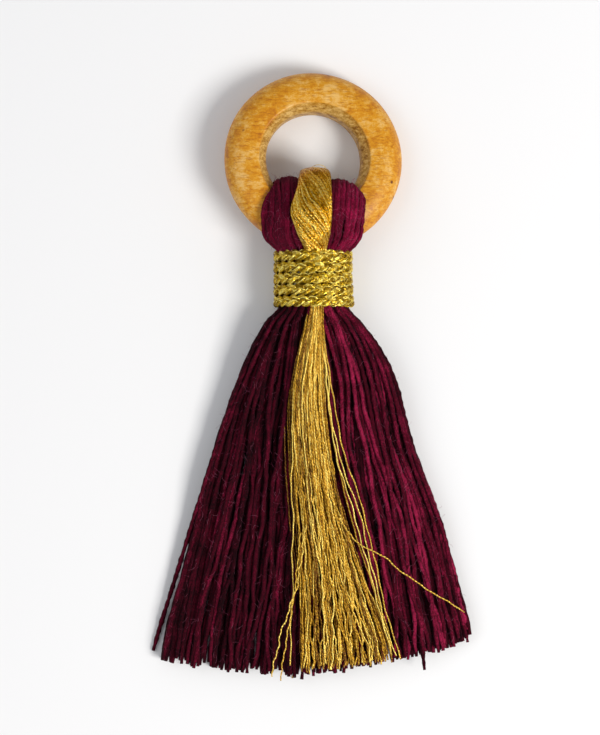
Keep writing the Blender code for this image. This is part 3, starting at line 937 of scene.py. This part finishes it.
# %% Wrap the wool round the ring
FRONT_POINT = 20  # a point of each path on its way up the front
rng = np.random.default_rng(21)
head_yarn = []
for count, limit, depth in ((50, 0.98, 0.0), (42, 0.96, 0.55 * MM), (30, 0.94, 1.15 * MM)):
    places = np.linspace(-limit, limit, count) + rng.normal(0.0, 0.007, count)
    head_yarn.append(head_paths(rng, places, 72, depth))
head_yarn = np.concatenate(head_yarn)
# Painted light: yarns on the right of the head get clearer tones, where the lamp on the right falls; the rest
# is each yarn's own dye.
head_painted_light = np.clip((head_yarn[:, FRONT_POINT, 0] - 1.0 * MM) / (6.0 * MM), 0.0, 1.0)
head_tones_with_painted_light = 0.25 + 0.28 * rng.uniform(0.0, 1.0, len(head_yarn)) + 0.35 * head_painted_light
wool_piece("head_loop", head_yarn, 7, head_tones_with_painted_light, 4, radius=HEAD_YARN, ply=0.12, finish=packed_wool)

# %% [markdown]
# ## Fuzz
#
# Wool is hairy. Short fibres escape from every yarn, curl, and catch the light as pale specks,
# and that light is partly painted in: their finish is paler than the yarn's. Each one here starts
# on the face of a yarn, lies mostly along it and bends one way for about a millimetre.

# %% Grow the fuzz
FUZZ_RADIUS = 0.017 * MM
FUZZ_LENGTHS = (0.5, 1.5)
FUZZ_LIFT = 0.35


def fuzz_paths(rng, paths, count, points=7):
    """Short curled fibres that start on the upper side of yarns."""
    strand = rng.integers(0, len(paths), count)
    place = rng.integers(3, paths.shape[1] - 2, count)
    root = paths[strand, place]
    share = np.linspace(0.0, 1.0, points)[None, :]
    length = rng.uniform(*FUZZ_LENGTHS, (count, 1)) * MM
    heading = rng.choice([0.5, 1.5], (count, 1)) * np.pi + rng.normal(0.0, 0.7, (count, 1))
    heading = heading + rng.normal(0.0, 1.1, (count, 1)) * share
    step = length / (points - 1)
    across = np.cumsum(step * np.cos(heading), axis=1) + root[:, 0:1]
    along = np.cumsum(step * np.sin(heading), axis=1) + root[:, 1:2]
    lift = rng.uniform(0.0, FUZZ_LIFT, (count, 1)) * MM * np.sin(np.pi * 0.8 * share)
    level = root[:, 2:3] + YARN_RADIUS * 0.95 + lift
    return np.stack([across, along, level], axis=-1)


rng = np.random.default_rng(31)
fuzz = np.concatenate([fuzz_paths(rng, front_paths, 1800), fuzz_paths(rng, head_yarn[:50, 4:40], 420)])
dress(strands("wool_fuzz", fuzz, FUZZ_RADIUS, 3, FLAT_ACROSS, seed=32), fuzz_wool_painted_light, "maroon_wool")

# %% [markdown]
# ## Gold over the head
#
# The gold hank is twisted once or twice before it is folded over, so its threads slant across the
# bundle and bulge in the middle. Each thread sits on the outside of an oval that swells and thins
# along the bundle, and its angle on that oval turns steadily as it goes.

# %% Middle line of the gold bundle
def bundle_line(points):
    """The bundle from neck to neck: its middle line, half width, half thickness and shift across."""
    top_y = gold_high.y - 1.05 * MM
    neck_y = neck_top - 2.6 * MM
    crest_y = skirt_top + 15.6 * MM
    neck_front = binding_high.z - 1.45 * MM
    neck_back = binding_low.z + 1.75 * MM
    crest_front = gold_high.z - 1.15 * MM
    rows = np.array([
        # along, height, half width, half thickness, shift across
        (neck_y, neck_front, 1.7 * MM, 0.40 * MM, 0.4 * MM),
        (neck_top + 0.3 * MM, neck_front + 0.35 * MM, 1.85 * MM, 0.55 * MM, 0.4 * MM),
        (neck_top + 2.6 * MM, crest_front - 1.35 * MM, 2.75 * MM, 0.90 * MM, 0.1 * MM),
        (crest_y, crest_front, 3.55 * MM, 1.10 * MM, -0.42 * MM),
        (crest_y + 3.6 * MM, crest_front - 0.75 * MM, 2.85 * MM, 1.05 * MM, 0.15 * MM),
        (top_y - 0.9 * MM, crest_front - 3.1 * MM, 2.62 * MM, 1.00 * MM, 0.28 * MM),
        (top_y, ring_centre[2] + 1.9 * MM, 2.50 * MM, 0.95 * MM, 0.28 * MM),
        (top_y - 1.1 * MM, ring_centre[2] - 1.7 * MM, 2.50 * MM, 0.85 * MM, 0.25 * MM),
        (top_y - 3.6 * MM, 0.85 * MM, 2.60 * MM, 0.65 * MM, 0.2 * MM),
        (crest_y, 0.65 * MM, 2.60 * MM, 0.55 * MM, 0.0 * MM),
        (neck_top + 2.0 * MM, 0.75 * MM, 2.20 * MM, 0.50 * MM, 0.2 * MM),
        (neck_top - 0.4 * MM, neck_back - 0.1 * MM, 1.70 * MM, 0.42 * MM, 0.3 * MM),
        (neck_y, neck_back, 1.60 * MM, 0.38 * MM, 0.3 * MM),
    ])
    gaps = np.linalg.norm(np.diff(rows[:, :2], axis=0), axis=1)
    stops = np.concatenate([[0.0], np.cumsum(gaps)])
    even = np.linspace(0.0, stops[-1], points)
    line = np.stack([np.interp(even, stops, rows[:, c]) for c in range(5)], axis=-1)
    return smoothed(line[None], 8)[0]


BUNDLE_POINTS = 110
middle_line = bundle_line(BUNDLE_POINTS)
print("gold bundle:", round(2 * middle_line[:, 2].max() / MM, 1), "mm wide at most")

# %% Twist the gold bundle
THREAD_RADIUS = 0.138 * MM
THREAD_PITCH = 1.0 * MM
THREAD_SIDES = 5
BUNDLE_TWIST = -1.55
TWIST_WAVES = ((2.3, 0.05), (5.0, 0.035), (11.0, 0.025), (19.0, 0.015))


def squared(wave):
    """Turns a round swing into one that lingers at its ends, so an oval grows corners."""
    return np.sign(wave) * np.abs(wave) ** 0.88


def bundle_paths(rng, count, depth):
    """Threads round the bundle, at one depth under its face. They turn steadily along it."""
    run = unit(np.gradient(middle_line[:, :2], axis=0))
    out_y, out_z = -run[:, 1], run[:, 0]
    share = np.linspace(0.0, 1.0, BUNDLE_POINTS)[None, :]
    place = np.linspace(0.0, 2.0 * np.pi, count, endpoint=False)[:, None]
    place = place + rng.normal(0.0, 0.3 * np.pi / count, (count, 1))
    angle = place - 2.0 * np.pi * BUNDLE_TWIST * share + waver(rng, count, share, TWIST_WAVES) / MM
    half_width = np.maximum(middle_line[:, 2] - depth, 0.2 * MM)
    half_thick = np.maximum(middle_line[:, 3] - depth, 0.1 * MM)
    lift = half_thick * squared(np.sin(angle))
    across = axis_x + middle_line[:, 4] + half_width * squared(np.cos(angle))
    along = middle_line[:, 0] + lift * out_y
    level = np.maximum(middle_line[:, 1] + lift * out_z, THREAD_RADIUS)
    return np.stack([across, along, level], axis=-1)


def gold_piece(name, paths, ply, tones, seed, *nodes, radius=THREAD_RADIUS, pitch=THREAD_PITCH,
               across=FLAT_ACROSS, finish=thread_gold):
    dress(strands(name, paths, radius, THREAD_SIDES, across, ply, pitch, tones, seed),
          finish, "gold_thread", *nodes)


rng = np.random.default_rng(5)
bundle_threads = np.concatenate([bundle_paths(rng, 66, 0.10 * MM), bundle_paths(rng, 54, 0.25 * MM)])
bundle_tones = rng.uniform(0.25, 0.85, len(bundle_threads))
gold_piece("gold_bundle", bundle_threads, 0.12, bundle_tones, 6, "gold_hank", pitch=0.9 * MM,
           finish=bundle_gold)

# %% [markdown]
# ## The gold fan
#
# In front, the gold threads leave the binding as a narrow strip and open into a fan that leans to
# the right. They are springy and crimped, so each keeps small waves and a few stray from the rest.
# The fan's width and height are slices of the solid, split from the back strip by height.

# %% Outline of the front fan
FAN_SLICES = 16
fan_stops = np.linspace(gold_low.y + 2.0 * MM, skirt_top - 0.5 * MM, FAN_SLICES)
fan_slices = np.array([
    slice_solid(gold_edges, y, over=float(skirt_outline(np.array([y]))[2][0])) for y in fan_stops])
print("fan, mm:", *[round((row[1] - row[0]) / MM, 1) for row in fan_slices[::-5]], "wide on its way down")

# %% Spread the front fan
FAN_POINTS = 150
FAN_WAVES = ((1.3, 0.55), (3.1, 0.36), (7.0, 0.22), (15.0, 0.15), (25.0, 0.09))
FACE_WAVES = ((3.1, 0.06), (7.9, 0.05), (15.0, 0.04))
DRAWN_IN_RIGHT = 0.42  # how far each side is drawn in halfway down, in half widths
DRAWN_IN_LEFT = 0.17


def fan_paths(rng, count, depth, loose=0.10):
    """Threads of the fan, from under the binding to its hem. Loose threads cross the others more."""
    share = np.linspace(0.0, 1.0, FAN_POINTS)[None, :]
    at_hem = np.clip(np.linspace(-0.95, 0.97, count)[:, None] + rng.normal(0, 1.2 / count, (count, 1)), -1, 1)
    at_neck = np.clip(0.9 * at_hem + rng.normal(0.0, 0.32, (count, 1)), -0.92, 0.92)
    crossing = rng.normal(0.0, loose, (count, 1)) * np.sin(np.pi * share)
    position = at_neck + (at_hem - at_neck) * share ** 0.8 + crossing
    end = gold_low.y + (1.05 * at_hem + rng.gamma(1.5, 0.6, (count, 1))) * MM
    start = skirt_top + UNDER_BINDING
    along = start + (end - start) * share
    mid, half, low, high = outline_at(along, fan_stops, fan_slices)
    halfway = np.sin(np.pi * np.clip((share - 0.12) / 0.82, 0.0, 1.0))
    drawn_in = (DRAWN_IN_RIGHT * np.clip(position, 0.0, 1.0)
                + DRAWN_IN_LEFT * np.clip(position, -1.0, 0.0)) * halfway
    across = mid + (half - THREAD_RADIUS) * (position - drawn_in)
    held = 1.0 - 0.75 * np.abs(np.clip(position, -1.0, 1.0)) ** 4
    across = across + waver(rng, count, share, FAN_WAVES) * held * share ** 0.6
    face = low + (high - low) * (0.35 + 0.65 * crown(np.clip(position, -1, 1), 2.2))
    level = face - THREAD_RADIUS - rng.uniform(*depth, (count, 1))
    level = level + waver(rng, count, share, FACE_WAVES)
    return np.stack([across, along, np.maximum(level, THREAD_RADIUS)], axis=-1)


rng = np.random.default_rng(11)
upper_fan = fan_paths(rng, 52, (0.0, 0.60 * MM))
lower_fan = fan_paths(rng, 40, (0.5 * MM, 1.0 * MM), loose=0.15)
# Painted shade: the lower layer of the fan gets only low tones, for the shade that it lies in under the upper
# threads.
fan_tones_with_painted_shade = np.append(rng.uniform(0.0, 1.0, len(upper_fan)) ** 0.6, rng.uniform(0.0, 0.5, len(lower_fan)))
gold_piece("gold_fan", np.concatenate([upper_fan, lower_fan]), 0.18, fan_tones_with_painted_shade, 8)

# %% [markdown]
# ## Gold strays
#
# A few threads have left the fan. One crosses the wool to the right side, three run apart along
# the fan's right edge, two cross its lower left corner and one follows its left edge. They are led
# by marks like the stray yarns, and small waves keep their crimp.

# %% Strays of gold
STRAY_WAVES = ((5.0, 0.16), (13.0, 0.10))
GOLD_STRAYS = [
    [(0.55, 0.15, 1.2), (0.61, 0.22, 1.3), (0.645, 0.28, 1.3), (0.666, 0.40, 1.2), (0.689, 0.515, 1.0),
     (0.711, 0.562, 0.9), (0.739, 0.652, 0.8), (0.784, 0.81, 0.6), (0.808, 0.90, 0.5), (0.837, 1.0, 0.3)],
    [(0.0, 0.10, -0.6), (0.14, 0.12, 0.4), (0.405, 0.22, 0.5), (0.537, 0.33, 0.4), (0.70, 0.39, 0.4),
     (0.85, 0.43, 0.4), (0.945, 0.49, 0.4)],
    [(0.0, 0.12, -0.6), (0.14, 0.15, 0.4), (0.405, 0.28, 0.5), (0.537, 0.37, 0.4), (0.70, 0.42, 0.4),
     (0.85, 0.46, 0.4), (0.955, 0.52, 0.4)],
    [(0.0, 0.08, -0.6), (0.14, 0.11, 0.4), (0.405, 0.20, 0.6), (0.537, 0.28, 0.5), (0.70, 0.36, 0.4),
     (0.94, 0.46, 0.4)],
    [(0.60, -0.10, 1.2), (0.76, -0.15, 1.3), (0.88, -0.24, 0.7), (1.0, -0.29, 0.4)],
    [(0.62, -0.14, 1.1), (0.80, -0.17, 1.2), (0.92, -0.21, 0.7), (1.01, -0.235, 0.4)],
    [(0.10, -0.15, 0.3), (0.35, -0.225, 0.5), (0.60, -0.20, 0.5), (0.85, -0.175, 0.5), (0.97, -0.18, 0.4)],
]
rng = np.random.default_rng(17)
stray_gold = led_paths(GOLD_STRAYS, 120)
share = np.linspace(0.0, 1.0, stray_gold.shape[1])[None, :]
stray_gold[..., 0] += waver(rng, len(stray_gold), share, STRAY_WAVES)
stray_gold[..., 2] += THREAD_RADIUS
stray_tones = rng.uniform(0.5, 1.0, len(stray_gold))
gold_piece("stray_gold", stray_gold, 0.15, stray_tones, 18, radius=0.85 * THREAD_RADIUS)

# %% [markdown]
# ## A loop that sprang up
#
# One thread of the bundle was pulled long where it turns over the ring, and stands up as a small
# arch of fine filament. Half an ellipse is all that it needs.

# %% A loop that sprang up
LOOP_HALF_WIDTH = 1.30 * MM
LOOP_REACH = 0.85 * MM
swing = np.linspace(0.0, np.pi, 40)
loop_paths = np.stack([axis_x + 0.9 * MM + LOOP_HALF_WIDTH * np.cos(swing),
                       gold_high.y - 0.75 * MM + LOOP_REACH * np.sin(swing),
                       ring_centre[2] + (2.2 + 0.6 * np.sin(swing)) * MM], axis=-1)[None]
gold_piece("gold_loop", loop_paths, 0.0, [0.9], 24, radius=0.33 * THREAD_RADIUS, pitch=1.0,
           across=(0.0, 0.0, 1.0))

# %% [markdown]
# ## Gold under the back
#
# The gold hank is folded over the ring like the wool, so its other end comes out below the binding
# at the back and lies as a flat strip between the wool and the table. It drops from the neck to
# the table in the first few millimetres.

# %% Gold under the back
def back_strip_paths(rng, count, points):
    share = np.linspace(0.0, 1.0, points)[None, :]
    at_hem = np.linspace(-0.97, 0.97, count)[:, None]
    start = skirt_top + 1.5 * MM
    end = strip_stops[0] - 3.0 * MM - rng.gamma(1.6, 0.8, (count, 1)) * MM
    along = start + (end - start) * share
    across = gold_strip(along) * at_hem + waver(rng, count, share, FAN_WAVES) * share
    drop = (binding_low.z + 1.3 * MM) * (1.0 - share / 0.06).clip(0.0)
    level = drop + rng.uniform(0.16, 0.42, (count, 1)) * MM
    return np.stack([across + axis_x * (1.0 - share), along, level], axis=-1)


gold_piece("gold_back", back_strip_paths(np.random.default_rng(19), 34, 70), 0.15, None, 20)

# %% [markdown]
# ## The binding
#
# A braided gold cord is wound five times round the neck and its ends are tucked in behind. A flat
# braid of three bundles swings each bundle from side to side while it goes over and under the
# others, which is what makes the row of V shapes. So a bundle's path is the winding's path, plus
# one wave across the cord and a wave of twice the speed in and out. Fine threads lie round it.

# %% Path of the winding
TURNS = 5
CLIMB_SHARE = 0.3
CORD_HALF_THICKNESS = (0.60 * MM, 0.58 * MM)  # at the sides, and above and below
SLACK = 0.25 * MM


def binding_winding(points):
    """The cord's middle line, and the direction straight out from the neck."""
    turned = np.linspace(0.0, TURNS, points)
    angle = 2.0 * np.pi * turned - np.pi / 2.0
    passed = np.floor(turned + 0.5)
    climb = np.clip((turned + 0.5 - passed - 0.35) / CLIMB_SHARE, 0.0, 1.0)
    row = np.clip(passed - 0.5 + climb ** 2 * (3.0 - 2.0 * climb), 0.5, TURNS - 0.5)
    slack = SLACK * np.maximum(0.0, np.cos(angle)) * np.clip(2.0 - row, 0.0, 1.0)
    half_width = (binding_high.x - binding_low.x) / 2.0 - CORD_HALF_THICKNESS[0] + slack
    half_height = (binding_high.z - binding_low.z) / 2.0 - CORD_HALF_THICKNESS[1]
    middle_z = (binding_high.z + binding_low.z) / 2.0
    along = binding_low.y + (binding_high.y - binding_low.y) * row / TURNS
    line = np.stack([axis_x + half_width * np.cos(angle), along, middle_z + half_height * np.sin(angle)], -1)
    out = unit(np.stack([np.cos(angle) / half_width, 0 * angle, np.sin(angle) / half_height], -1))
    return line, out


cord_line, cord_out = binding_winding(560)
cord_length = lengths_along(cord_line[None])[0]
print("cord of the binding:", round(cord_length[-1] / MM), "mm long in", TURNS, "turns")

# %% Wind the braided cord
BRAID_PERIOD = 4.6 * MM
BUNDLES = 3
THREADS_EACH = 8
CORD_THREAD = 0.125 * MM
BUNDLE_SWING = 0.56 * MM
BUNDLE_WEAVE = 0.22 * MM
BUNDLE_HALF_WIDTH = 0.36 * MM
BUNDLE_HALF_THICKNESS = 0.20 * MM
BUNDLE_PITCH = 7.0 * MM


def braid_paths():
    edge = np.array([0.0, 1.0, 0.0])
    paths = []
    for bundle in range(BUNDLES):
        phase = 2.0 * np.pi * (cord_length / BRAID_PERIOD + bundle / BUNDLES)
        swing = BUNDLE_SWING * np.sin(phase)
        weave = BUNDLE_WEAVE * np.sin(2.0 * phase)
        centre = cord_line + swing[:, None] * edge + weave[:, None] * cord_out
        for thread in range(THREADS_EACH):
            angle = 2.0 * np.pi * (thread / THREADS_EACH + cord_length / BUNDLE_PITCH)
            paths.append(centre + BUNDLE_HALF_WIDTH * np.cos(angle)[:, None] * edge
                         + BUNDLE_HALF_THICKNESS * np.sin(angle)[:, None] * cord_out)
    return np.array(paths)


cord = strands("binding_cord", braid_paths(), CORD_THREAD, THREAD_SIDES, (0.0, 1.0, 0.0), 0.1,
               0.8 * MM, seed=9)
dress(cord, cord_gold, "gold_cord", "binding")

# %% [markdown]
# ## The table
#
# The tassel lies on a plain pale table. One large square face is enough, a hair below the tassel
# so that the yarns at rest on it don't share its plane. It is staging, so it isn't part of the
# object.

# %% Floor
def make_floor():
    reach = 3.0
    mesh = bpy.data.meshes.new("floor")
    mesh.from_pydata([(-reach, -reach, 0), (reach, -reach, 0), (reach, reach, 0), (-reach, reach, 0)],
                     [], [(0, 1, 2, 3)])
    floor = put_in_scene("floor", mesh)
    floor.location.z = -0.02 * MM
    material, _, shader = new_finish("pale table")
    shader.inputs["Base Color"].default_value = (0.86, 0.86, 0.86, 1.0)
    shader.inputs["Roughness"].default_value = 0.8
    mesh.materials.append(material)
    print("floor:", 2 * reach, "m square")


make_floor()

# %% [markdown]
# ## Light
#
# A large soft lamp stands to the right and a little towards the skirt, so the strands cast soft
# shadows on each other. A wider, weaker lamp on the left and a pale sky fill those shadows. A
# small hard lamp would make the gold glitter more, but it would also turn the wool's gaps black.

# %% Light
MIDDLE = (0.0, 0.0, 0.0)
SKY_STRENGTH = 0.43


def add_lamp(name, place, size, power, colour):
    """A square soft lamp that looks at the middle of the tassel. Size in metres, power in watts."""
    data = bpy.data.lights.new(name, "AREA")
    data.size = size
    data.energy = power
    data.color = colour
    lamp = put_in_scene(name, data)
    lamp.location = place
    lamp.rotation_euler = (Vector(MIDDLE) - Vector(place)).to_track_quat("-Z", "Y").to_euler()
    print("lamp:", name, power, "W")


add_lamp("key", (0.42, -0.22, 0.50), 0.26, 4.1, (1.0, 0.98, 0.95))
add_lamp("fill", (-0.5, 0.1, 0.6), 0.6, 1.3, (0.95, 0.97, 1.0))
world = bpy.data.worlds.new("pale sky")
bpy.context.scene.world = world
world.use_nodes = True
sky = world.node_tree.nodes["Background"]
sky.inputs["Color"].default_value = (0.95, 0.96, 1.0, 1.0)
sky.inputs["Strength"].default_value = SKY_STRENGTH
bpy.context.scene.view_settings.view_transform = "Standard"

# %% [markdown]
# ## Camera
#
# The camera looks straight down from about 40 cm, far enough for the ring and the flat skirt to be seen
# without much perspective. The lens follows from the height of the view that it has to take in.

# %% Camera
CAMERA_HEIGHT = 0.40
VIEW_HEIGHT = 123.4 * MM
camera_data = bpy.data.cameras.new("camera")
camera = put_in_scene("camera", camera_data)
camera_data.lens = camera_data.sensor_width * CAMERA_HEIGHT / VIEW_HEIGHT
camera.location = (axis_x - 2.2 * MM, 1.15 * MM, CAMERA_HEIGHT + ring_centre[2])
camera.rotation_euler = (0.0, 0.0, 0.0)
bpy.context.scene.camera = camera
print("camera lens:", round(camera_data.lens, 1), "mm")
